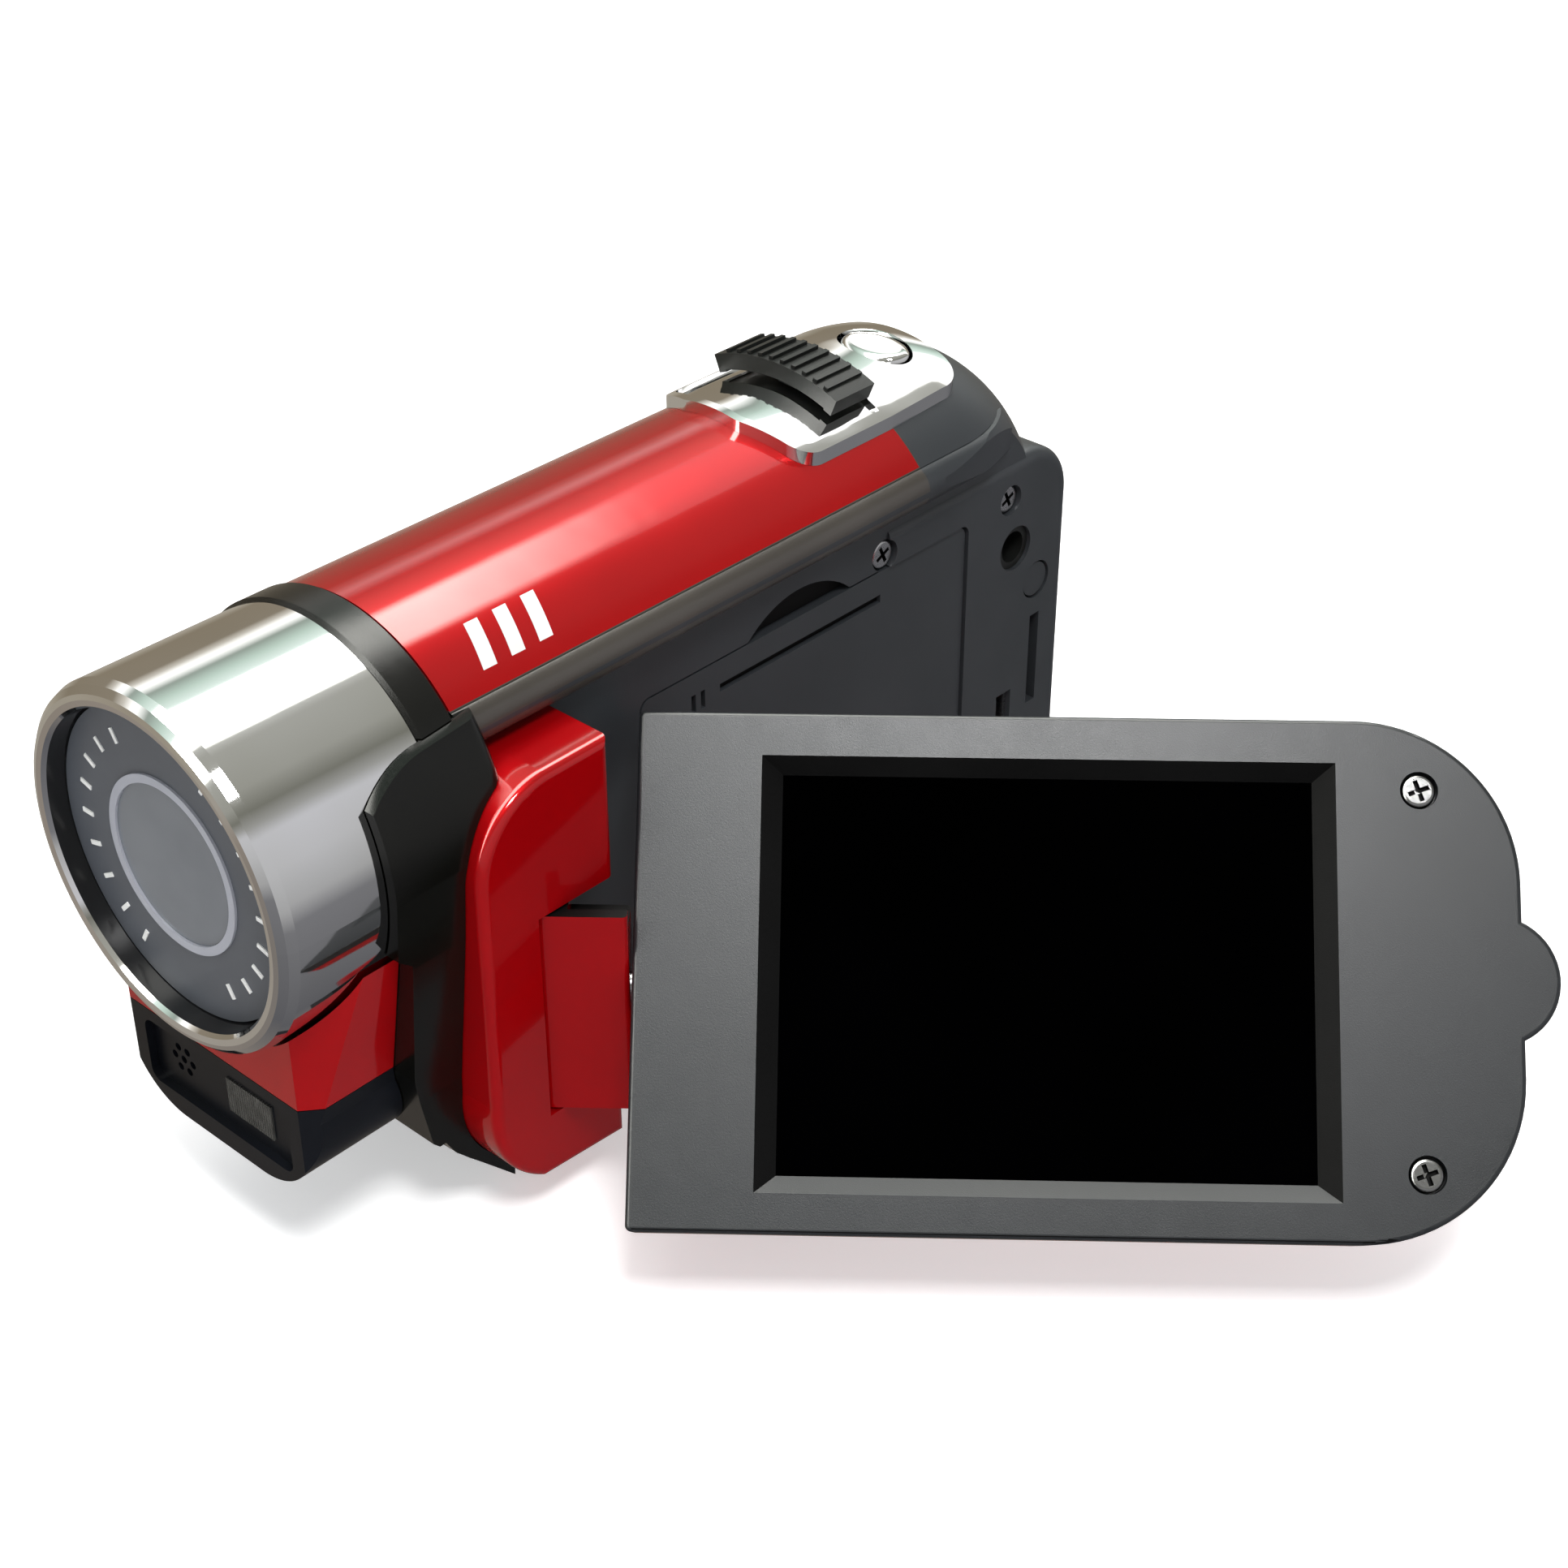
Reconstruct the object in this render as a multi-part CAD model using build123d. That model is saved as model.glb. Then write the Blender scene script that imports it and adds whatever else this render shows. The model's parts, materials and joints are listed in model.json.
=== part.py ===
from build123d import *
import os
from math import cos, radians, sin, sqrt

# Camcorder with a side screen on a two-axis hinge. Millimetres.
# +Z is up, the lens looks along -Y, the screen is on +X.
# The origin is the mouth of the tripod socket in the flat base.

# ---------------------------------------------------------------- driving dimensions
LENS_Z = 43.0              # height of the lens axis above the base
COVER_FRONT = -38.0        # front edge of the top cover along Y
GAP = 0.1                  # seam between neighbouring shells
CLEAR = 0.3                # air between pieces that move past each other
WALL = 1.7                 # thickness of the moulded shells

COVER_R = 18.1             # outer radius of the half-round top cover
COVER_LENGTH = 63.4
SEAM_ANGLE = 40.2          # where the cover ends, above the horizontal

HOOD_R = 18.1
HOOD_BACK = -4.3           # hood and band meet here, behind the cover's front edge
HOOD_FRONT = -23.4
BAND_R = 18.4
PLATE_FACE = -21.0         # front of the disc in the hood
PLATE_R = 15.4
LENS_RING_R = 8.8
LENS_RING_WIDTH = 0.85
APERTURE_R = 4.2

SIDE_X = 12.65             # side plane that the closed screen covers
RIDGE_X = 15.0             # crest of the ridge above the side plane
RIDGE_LOW = 7.7            # underside of the ridge, above the lens axis
GRIP_X = -18.1             # outermost face on the hand's side
BASE_FRONT = -6.5          # front of the lower body
DOME_CENTRE = 71.0         # middle of the round dome that closes the rear
REAR_HALF = 13.2           # half width of the flat rear panel
SIDE_PANEL_REAR = 88.7
SIDE_PANEL_TOP = 4.2
BORDER = 1.6               # rim of the rear housing round the side panel
BODY_REAR = SIDE_PANEL_REAR + BORDER

HINGE_X = 19.15            # vertical hinge axis of the screen
HINGE_BACK = 4.8
SWIVEL_UP = -17.8          # swivel axis, above the lens axis
OPEN_ANGLE = 49.2          # how far the screen stands open
TILT_ANGLE = 43.8          # how far the screen leans back from upright
BLOCK_X = 21.0             # outer face of the hinge block
BLOCK_ARM_END = 12.1
SLOT_FRONT = 2.4           # front wall of the slot ends here
SLOT_TOP = -8.3            # gap between the block's arms
SLOT_BOTTOM = -31.3
KNUCKLE_R = 2.1
PIN_R = 1.0
SHAFT_R = 1.4
POCKET_DEPTH = 1.6         # hollow in the top of the knuckle's arm
RUN = 0.05                 # radial running clearance

PANEL_NEAR = 8.0           # near edge of the screen panel from the hinge axis
PANEL_LENGTH = 81.0
PANEL_WIDTH = 47.8
PANEL_OFFSET = 1.2         # panel's middle above the swivel axis
PANEL_HALF = 4.3           # half of the panel's thickness
PANEL_CORNER = 15.0
FRAME_BACK = 0.8           # parting line between panel frame and panel shell
WINDOW = (52.8, 40.1)      # bevelled window at the panel's face
SCREEN = (48.9, 36.9)      # visible screen
WINDOW_X = PANEL_NEAR + 11.5 + WINDOW[0] / 2
WINDOW_Y = PANEL_OFFSET - 0.2
GLASS_FACE = PANEL_HALF - 1.6

TRIPOD_R = 3.175           # quarter-inch tripod thread
TRIPOD_DEPTH = 6.0
JACK_R = 1.8
CELL_R = 5.2
CELL_LENGTH = 44.5


# ---------------------------------------------------------------- helpers
def back(distance):
    """Y of a place measured back from the cover's front edge."""
    return COVER_FRONT + distance


def up(height):
    """Z of a place measured up from the lens axis."""
    return LENS_Z + height


def block(x0, x1, y0, y1, z0, z1):
    """Box between two corners."""
    return Pos((x0 + x1) / 2, (y0 + y1) / 2, (z0 + z1) / 2) * Box(x1 - x0, y1 - y0, z1 - z0)


def rod_x(r, x0, x1, y, z):
    return Pos((x0 + x1) / 2, y, z) * Rot(0, 90, 0) * Cylinder(r, x1 - x0)


def rod_y(r, y0, y1, x=0.0, z=LENS_Z):
    return Pos(x, (y0 + y1) / 2, z) * Rot(90, 0, 0) * Cylinder(r, y1 - y0)


def rod_z(r, z0, z1, x, y):
    return Pos(x, y, (z0 + z1) / 2) * Cylinder(r, z1 - z0)


def along_x(face, x0, x1):
    """Extrude a face drawn in (Y, Z) from x0 to x1."""
    return extrude(Plane(origin=(x0, 0, 0), x_dir=(0, 1, 0), z_dir=(1, 0, 0)) * face, x1 - x0)


def along_y(face, y0, y1):
    """Extrude a face drawn in (X, Z) from y0 to y1."""
    return extrude(Plane(origin=(0, y1, 0), x_dir=(1, 0, 0), z_dir=(0, -1, 0)) * face, y1 - y0)


def along_z(face, z0, z1):
    """Extrude a face drawn in (X, Y) from z0 to z1."""
    return extrude(Plane(origin=(0, 0, z0)) * face, z1 - z0)


def outline(*points):
    return make_face(Polyline(*points, close=True))


def rounded(face, radius, keep):
    """Round the corners of a face that the test picks."""
    return fillet([v for v in face.vertices() if keep(v)], radius)


def turned(points):
    """Turn a profile of (radius, distance back) points about the lens axis."""
    face = make_face(Polyline(*[(r, back(d)) for r, d in points], close=True))
    return Pos(0, 0, LENS_Z) * revolve(face, Axis.Y)


def write(name, shape):
    solids = shape.solids() if hasattr(shape, "solids") else [shape]
    export_step(solids[0] if len(solids) == 1 else Compound(children=list(solids)), f"parts/{name}.step")


def group(pieces):
    return Compound(children=list(pieces))


# ---------------------------------------------------------------- outer form of the body
def seam_point(radius=COVER_R):
    """Where the cover's edge lies in (X, Z)."""
    return radius * cos(radians(SEAM_ANGLE)), up(radius * sin(radians(SEAM_ANGLE)))


def body_section(inset=0.0):
    """Cross-section of the body under the lens axis' level, in (X, Z)."""
    side, base, grip = SIDE_X - inset, inset, GRIP_X + inset
    face = outline((side, base), (side, LENS_Z), (grip, LENS_Z), (grip + 0.9, base))
    face = rounded(face, 1.6, lambda v: v.X > 0 and v.Y < 5)
    return rounded(face, 10.0, lambda v: v.X < 0 and v.Y < 5)


def front_slope(inset=0.0):
    """Side view in (Y, Z) that rounds off the front of the base, under the chin."""
    front, base = back(-12 + inset), -1.0
    low, high = (back(3.2 + inset), inset), (back(BASE_FRONT + inset), up(-31.8))
    middle = (back(-2.5 + inset), up(-37.6 + 0.4 * inset))
    return make_face([
        Line((back(140), base), (low[0], base)), Line((low[0], base), low), ThreePointArc(low, middle, high),
        Line(high, (front, high[1])), Line((front, high[1]), (front, up(40))),
        Line((front, up(40)), (back(140), up(40))), Line((back(140), up(40)), (back(140), base)),
    ])


def lower_body(inset=0.0):
    """Trunk under the lens axis' level: square front, round rear."""
    half, front = COVER_R - inset, back(BASE_FRONT + inset)
    trunk = outline((-half, front), (half, front), (half, back(DOME_CENTRE)), (-half, back(DOME_CENTRE)))
    trunk = rounded(trunk, 5.0, lambda v: v.Y < front + 1)
    plan = trunk + Pos(0, back(DOME_CENTRE)) * Circle(half)
    form = along_y(body_section(inset), front, back(BODY_REAR)) & along_z(plan, 0, LENS_Z)
    return form & along_x(front_slope(inset), -60, 60)


def crown(radius, start=0.0, inset=0.0):
    """Half-round top with its ball-shaped rear end, flat on the screen's side under the seam."""
    ball = Pos(0, back(DOME_CENTRE), LENS_Z) * Sphere(radius)
    upper = block(-60, 60, back(-30), back(120), LENS_Z, LENS_Z + 60)
    flat = block(SIDE_X - inset, 60, back(-30), back(120), LENS_Z - 1, seam_point()[1])
    return (ball + rod_y(radius, back(start), back(DOME_CENTRE))) & (upper - flat)


def border_outline(grow):
    """Outline of the side panel's rear end in (Y, Z), grown outwards."""
    top, rear = up(SIDE_PANEL_TOP + grow), back(SIDE_PANEL_REAR + grow)
    face = outline((back(60), max(0, BORDER - grow)), (rear, max(0, BORDER - grow)), (rear, top), (back(60), top))
    return rounded(face, 5.0 + grow, lambda v: v.X > back(80) and v.Y > 10)


def rear_panel(inset=0.0):
    """Flat-backed block across the rear; its left rim frames the side panel."""
    slab = along_x(border_outline(BORDER - inset), -REAR_HALF + inset, SIDE_X + 0.35 - inset)
    if inset:
        return slab
    corner = [e for e in slab.edges() if abs(e.center().X) > 12 and e.center().Y > back(80) and e.center().Z > 1]
    return fillet(corner, 1.3)


def body_form(inset=0.0):
    """The closed outer form; with an inset it is the hollow inside."""
    return lower_body(inset) + crown(COVER_R - inset, inset, inset) + rear_panel(inset)


def ridge():
    """Rounded ridge between the cover's seam and the side plane, along the body."""
    sx, sz = seam_point(COVER_R - 0.1)
    face = make_face([
        Line((SIDE_X - WALL, up(RIDGE_LOW)), (RIDGE_X - 0.6, up(RIDGE_LOW))),
        ThreePointArc((RIDGE_X - 0.6, up(RIDGE_LOW)), (RIDGE_X + 0.2, up(9.6)), (sx, sz)),
        Line((sx, sz), (SIDE_X - WALL, sz)),
        Line((SIDE_X - WALL, sz), (SIDE_X - WALL, up(RIDGE_LOW))),
    ])
    taper_start, taper_end = 66.0, 80.0
    drop = RIDGE_X + 0.1 - SIDE_X
    sweep_r = ((taper_end - taper_start) ** 2 + drop ** 2) / (2 * drop)
    taper = rod_z(sweep_r, 0, 80, RIDGE_X + 0.1 - sweep_r, back(taper_start))
    straight = block(0, 40, back(0), back(taper_start), 0, 80)
    dome_r = COVER_R + 0.3
    dome = rod_y(dome_r, back(0), back(DOME_CENTRE)) + Pos(0, back(DOME_CENTRE), LENS_Z) * Sphere(dome_r)
    return along_y(face, back(0.1), back(taper_end)) & (taper + straight) & dome


def block_outline(grow=0.0):
    """Side view of the hinge block in (Y, Z)."""
    face = make_face([
        Line((back(-4.1), up(-27)), (back(-4.1), up(-2))),
        ThreePointArc((back(-4.1), up(-2)), (back(-1.6), up(3.9)), (back(4.2), up(6.6))),
        Line((back(4.2), up(6.6)), (back(BLOCK_ARM_END), up(6.7))),
        Line((back(BLOCK_ARM_END), up(6.7)), (back(BLOCK_ARM_END), up(-39.2))),
        Line((back(BLOCK_ARM_END), up(-39.2)), (back(1.4), up(-38.4))),
        ThreePointArc((back(1.4), up(-38.4)), (back(-2.7), up(-34.2)), (back(-4.1), up(-27))),
    ])
    return offset(face, grow) if grow else face


WRAP_R = 19.3              # outer radius of the dark wrap beside the hood
WRAP_X = 8.0               # inner face of the wrap
WRAP_LIP = -17.0           # how far the wrap reaches forward beside the hood


def wrap_outline(grow=0.0):
    """Side view in (Y, Z) of the dark wrap between the hood and the hinge block."""
    face = make_face([
        Line((back(2.0), up(11.5)), (back(-4.4), up(11.1))),
        ThreePointArc((back(-4.4), up(11.1)), (back(-13.2), up(7.5)), (back(WRAP_LIP), up(1.0))),
        Line((back(WRAP_LIP), up(1.0)), (back(WRAP_LIP), up(-2.0))),
        Line((back(WRAP_LIP), up(-2.0)), (back(-10.4), up(-7.6))),
        Line((back(-10.4), up(-7.6)), (back(-10.0), up(-22.0))),
        Line((back(-10.0), up(-22.0)), (back(-8.0), up(-31.0))),
        Line((back(-8.0), up(-31.0)), (back(2.0), up(-41.5))),
        Line((back(2.0), up(-41.5)), (back(2.0), up(11.5))),
    ])
    return offset(face, grow) if grow else face


def wrap():
    """Dark wrap: hugs the hood and draws in below it, in front of the hinge block."""
    below = outline((WRAP_X, LENS_Z), (WRAP_R, LENS_Z), (18.6, up(-8)), (16.4, up(-25)), (15.6, 0), (WRAP_X, 0))
    barrel = rod_y(WRAP_R, back(-18), back(2))
    barrel = fillet(barrel.edges().sort_by(Axis.Y)[-1], 1.6)
    upper = barrel & block(WRAP_X, 40, back(-18), back(2), LENS_Z, LENS_Z + 30)
    form = (upper + along_y(below, back(-18), back(2))) & along_x(wrap_outline(), 0, 40)
    return (form & along_x(front_slope(), 0, 40)) - rod_y(HOOD_R + 0.15, back(HOOD_FRONT - 1), back(HOOD_BACK + 0.05))


def housing_solid():
    """Left and right housings before they are hollowed and parted."""
    return body_form() + ridge() + wrap() - along_x(block_outline(GAP), SIDE_X, 40)


def rear_region():
    """Space that belongs to the rear housing."""
    region = block(-60, 60, back(COVER_LENGTH + GAP), back(200), -5, up(60))
    side_panel = along_x(border_outline(0.0), 9.0, 60) & block(0, 60, -200, 200, -5, 200)
    return region - side_panel


def part_shells():
    """Cut the hollow body into its cover, two housings and rear housing."""
    solid = housing_solid()
    shell = solid - body_form(WALL)
    cover_sector = Pos(0, back(COVER_LENGTH / 2), LENS_Z) * Rot(90, 0, 0) * Cylinder(40, COVER_LENGTH)
    sx, sz = seam_point(COVER_R)
    above_seam = block(-60, 60, back(0), back(COVER_LENGTH), sz + GAP, 200)
    rear_zone = rear_region()
    rear = shell & rear_zone
    band_room = rod_y(BAND_R + 0.2, back(-10), back(0)) - along_x(wrap_outline(), WRAP_X, 40)
    rest = shell - rear_zone - above_seam - band_room - rod_y(HOOD_R + 0.15, back(-30), back(HOOD_BACK + 0.05))
    left = rest & block(GAP / 2, 60, -200, 200, -5, 200)
    right = rest & block(-60, -GAP / 2, -200, 200, -5, 200)
    ring = rod_y(COVER_R, back(0.05), back(COVER_LENGTH)) - rod_y(COVER_R - 1.5, back(0), back(COVER_LENGTH))
    cover = ring & above_seam & cover_sector
    return cover, left, right, rear


# ---------------------------------------------------------------- features cut in the shells
DOOR_SLIDE = 1.2           # how far the battery door slides down before it lifts off
DOOR = (back(24.0), back(72.9), up(-34.4), up(1.35))      # battery door in (Y0, Y1, Z0, Z1)
JACK = (back(81.2), up(-4.9))
POWER = (back(85.2), up(-10.4))
SIDE_SCREWS = [(back(59.4), up(2.9)), (back(80.0), up(1.35)), (back(82.0), up(-36.0))]
CARD_SLOT = (back(85.3), up(-20.5), 1.6, 11.4)            # middle Y, Z, width, height
USB_SLOT = (back(80.3), up(-27.0), 2.6, 8.0)
SPEAKER = (back(52.0), up(-6.0))
RECORD = (-3.2, up(-4.5))
LIGHT = (-10.8, up(0.5))
MENU_XZ = [(x, up(h)) for h in (-17.5, -26.5) for x in (-8.2, -1.4)]


def door_outline(shrink=0.0):
    """Battery door in (Y, Z), one corner of it rounder than the others."""
    y0, y1, z0, z1 = DOOR
    face = outline((y0 + shrink, z0 + shrink), (y1 - shrink, z0 + shrink),
                   (y1 - shrink, z1 - shrink), (y0 + shrink, z1 - shrink))
    return fillet(face.vertices(), 1.2)


def finger_notch():
    """Crescent above the door where a nail lifts it, in (Y, Z)."""
    y0, y1, z = back(39.0), back(54.2), up(1.3)
    return make_face([Line((y0, z), (y1, z)), ThreePointArc((y1, z), ((y0 + y1) / 2, z + 3.0), (y0, z))])


def side_cuts():
    """Everything cut through or into the left side plane."""
    recess = door_outline() + Pos(0, -DOOR_SLIDE) * door_outline()
    cut = along_x(recess, SIDE_X - 1.3, SIDE_X + 5)
    cut += along_x(door_outline(1.6), SIDE_X - 4, SIDE_X)
    cut += along_x(finger_notch(), SIDE_X - 0.9, SIDE_X + 5)
    for y, z in SIDE_SCREWS:
        cut += rod_x(1.75, SIDE_X - 0.9, SIDE_X + 3, y, z) + rod_x(0.6, SIDE_X - 3, SIDE_X, y, z)
    cut += rod_x(2.6, SIDE_X - 5, SIDE_X + 3, *JACK)
    cut += rod_x(2.25, SIDE_X - 5, SIDE_X + 3, *POWER)
    for y, z, width, height in (CARD_SLOT, USB_SLOT):
        cut += block(SIDE_X - 5, SIDE_X + 3, y - width / 2, y + width / 2, z - height / 2, z + height / 2)
    return cut


def rear_cuts():
    """Holes in the rear face for the buttons and the status light."""
    cut = rod_y(4.3, back(80), back(100), *RECORD)
    for x, z in MENU_XZ:
        cut += block(x - 2.7, x + 2.7, back(80), back(100), z - 1.9, z + 1.9)
    cut += rod_y(0.9, back(75), back(100), *LIGHT)
    return cut


# ---------------------------------------------------------------- lens
def build_lens():
    lip_r = HOOD_R - 1.9
    hood = turned([
        (HOOD_R, HOOD_BACK - GAP), (HOOD_R, HOOD_FRONT + 1.7), (HOOD_R - 0.35, HOOD_FRONT + 0.75),
        (HOOD_R - 1.0, HOOD_FRONT + 0.15), (HOOD_R - 1.5, HOOD_FRONT), (lip_r - 0.2, HOOD_FRONT + 0.1),
        (lip_r - 0.5, HOOD_FRONT + 0.5), (PLATE_R + 0.1, PLATE_FACE + 1.0), (PLATE_R + 0.1, PLATE_FACE + 2.2),
        (HOOD_R - 1.4, PLATE_FACE + 2.2), (HOOD_R - 1.4, HOOD_BACK - GAP)])
    band = turned([
        (BAND_R, HOOD_BACK + 0.4), (BAND_R - 0.4, HOOD_BACK), (HOOD_R - 2.6, HOOD_BACK),
        (HOOD_R - 2.6, -GAP), (BAND_R - 0.3, -GAP), (BAND_R, -0.4)])
    plate = rod_y(PLATE_R, back(PLATE_FACE), back(PLATE_FACE + 1.6))
    plate -= rod_y(LENS_RING_R + 0.02, back(PLATE_FACE - 1), back(PLATE_FACE + 3))
    marks = [Pos(0, 0, LENS_Z) * Rot(0, a, 0) * Pos(0, back(PLATE_FACE) - 0.06, 12.4) * Box(0.45, 0.12, 1.5)
             for a in range(-150, 151, 15) if abs(a) > 20]
    ring = rod_y(LENS_RING_R, back(PLATE_FACE - 0.25), back(PLATE_FACE + 1.6))
    ring -= rod_y(LENS_RING_R - LENS_RING_WIDTH, back(PLATE_FACE - 2), back(PLATE_FACE + 3))
    window = rod_y(LENS_RING_R - LENS_RING_WIDTH - 0.02, back(PLATE_FACE), back(PLATE_FACE + 1.0))
    barrel = rod_y(7.4, back(PLATE_FACE + 1.7), back(-8)) - rod_y(5.6, back(PLATE_FACE + 1), back(-7))
    barrel += rod_y(PLATE_R - 0.6, back(PLATE_FACE + 1.7), back(PLATE_FACE + 2.6)) - rod_y(5.6, back(-30), back(0))
    elements = [rod_y(5.55, back(d), back(d + t)) for d, t in ((-17.0, 2.2), (-13.4, 1.4), (-10.2, 1.8))]
    iris = rod_y(5.55, back(-18.3), back(-17.8)) - rod_y(APERTURE_R, back(-20), back(-10))
    sensor = block(-3.4, 3.4, back(-7.9), back(-6.9), up(-2.6), up(2.6))
    board = block(-11, 11, back(-6.8), back(-5.6), up(-9), up(9))
    band -= along_x(block_outline(GAP), SIDE_X, 40) + along_x(wrap_outline(GAP), WRAP_X - GAP, 40)
    write("lens_hood", hood)
    write("hood_band", band)
    write("lens_plate", plate)
    write("plate_marks", group(marks))
    write("lens_ring", ring)
    write("lens_window", window)
    write("lens_barrel", barrel)
    write("lens_elements", group(elements))
    write("iris_ring", iris)
    write("image_sensor", sensor)
    write("sensor_board", board)


# ---------------------------------------------------------------- chin under the hood
CHIN_SPLIT = -21.6
MIC_HOLES = [(0.0, 0.0)] + [(1.35 * cos(radians(a)), 1.35 * sin(radians(a))) for a in range(0, 360, 60)]
MIC_XZ = (-6.2, up(-26.4))
LAMP = (0.6, 7.2, up(-28.6), up(-24.6))                    # lamp window in (X0, X1, Z0, Z1)


def chin_form():
    """Faceted block under the hood: front outline by plan outline."""
    face = make_face([
        Line((-17.3, up(-5.5)), (17.3, up(-5.5))), Line((17.3, up(-5.5)), (13.6, up(-23.5))),
        ThreePointArc((13.6, up(-23.5)), (11.6, up(-30.0)), (6.0, up(-32.6))),
        Line((6.0, up(-32.6)), (-6.0, up(-32.6))),
        ThreePointArc((-6.0, up(-32.6)), (-11.6, up(-30.0)), (-13.6, up(-23.5))),
        Line((-13.6, up(-23.5)), (-17.3, up(-5.5))),
    ])
    plan = outline((-12.4, back(-20)), (12.4, back(-20)), (17.4, back(-14.0)), (17.4, back(-8.4)),
                   (-17.4, back(-8.4)), (-17.4, back(-14.0)))
    form = along_y(face, back(-20.5), back(-8.4)) & along_z(plan, up(-45), up(0))
    return form - rod_y(HOOD_R + 0.35, back(-30), back(0)) - along_x(wrap_outline(GAP), WRAP_X - GAP, 40)


def build_chin():
    form = chin_form()
    red = form & block(-60, 60, -200, 200, up(CHIN_SPLIT), 200)
    red -= rod_y(HOOD_R - 4, back(-30), back(0))
    red = max(red.solids(), key=lambda s: s.volume)
    dark = form & block(-60, 60, -200, 200, -50, up(CHIN_SPLIT) - GAP)
    dark = max(dark.solids(), key=lambda s: s.volume)
    pocket = block(-10.6, 10.6, back(-21), back(-19.1), up(-30.3), up(-23.0))
    dark -= fillet(pocket.edges().filter_by(Axis.Y), 1.2)
    mx, mz = MIC_XZ
    for dx, dz in MIC_HOLES:
        dark -= rod_y(0.42, back(-20), back(-16.5), mx + dx, mz + dz)
    dark -= rod_y(2.3, back(-17.6), back(-14), mx, mz)
    x0, x1, z0, z1 = LAMP
    dark -= block(x0, x1, back(-20), back(-13), z0, z1)
    lens = block(x0 + 0.03, x1 - 0.03, back(-19.3), back(-18.3), z0 + 0.03, z1 - 0.03)
    emitter = block(x0 + 1.6, x1 - 1.6, back(-17.4), back(-16.2), z0 + 0.8, z1 - 0.8)
    write("chin_cover", red)
    write("chin_base", dark)
    write("lamp_window", lens)
    write("lamp_emitter", emitter)
    write("microphone", rod_y(2.2, back(-17.4), back(-15.2), mx, mz))


# ---------------------------------------------------------------- controls on top
ROCKER_BACK = 59.6
ROCKER_HALF = 2.9
ROCKER_ANGLE = 23.0        # half of the arc that the rocker covers
PLATE_LOW_R = COVER_R + 0.75
PLATE_HIGH_R = COVER_R + 1.25
BUTTON_XY = (1.4, back(70.6))
BUTTON_TOP = 3.2


def plate_outline_front():
    """Front lobe of the control plate in (X, Y)."""
    face = outline((-10.2, back(50.6)), (-4.5, back(48.2)), (3.0, back(47.8)), (10.2, back(50.4)),
                   (10.2, back(63.3)), (-10.2, back(63.3)))
    face = rounded(face, 3.2, lambda v: abs(v.X) > 9 and v.Y < back(60))
    return rounded(face, 2.0, lambda v: abs(v.X) < 5)


def plate_outline_rear():
    """Rear lobe of the control plate in (X, Y)."""
    face = outline((-10.2, back(63.3)), (10.2, back(63.3)), (9.8, back(75.8)), (-9.8, back(75.8)))
    return fillet([v for v in face.vertices() if v.Y > back(70)], 4.0)


def crown_shell(outer, inner):
    """Half-round shell round the lens axis, following the dome at the rear."""
    return crown(outer, 40) - crown(inner, 39)


def arc_bar(inner, outer, half_angle, y0, y1):
    """Bar bent round the lens axis."""
    ring = rod_y(outer, y0, y1) - rod_y(inner, y0, y1)
    reach = outer * 2
    wide = reach * sin(radians(half_angle))
    high = LENS_Z + reach * cos(radians(half_angle))
    wedge = make_face(Polyline((0, LENS_Z), (wide, high), (-wide, high), close=True))
    return ring & along_y(wedge, y0, y1)


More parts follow.
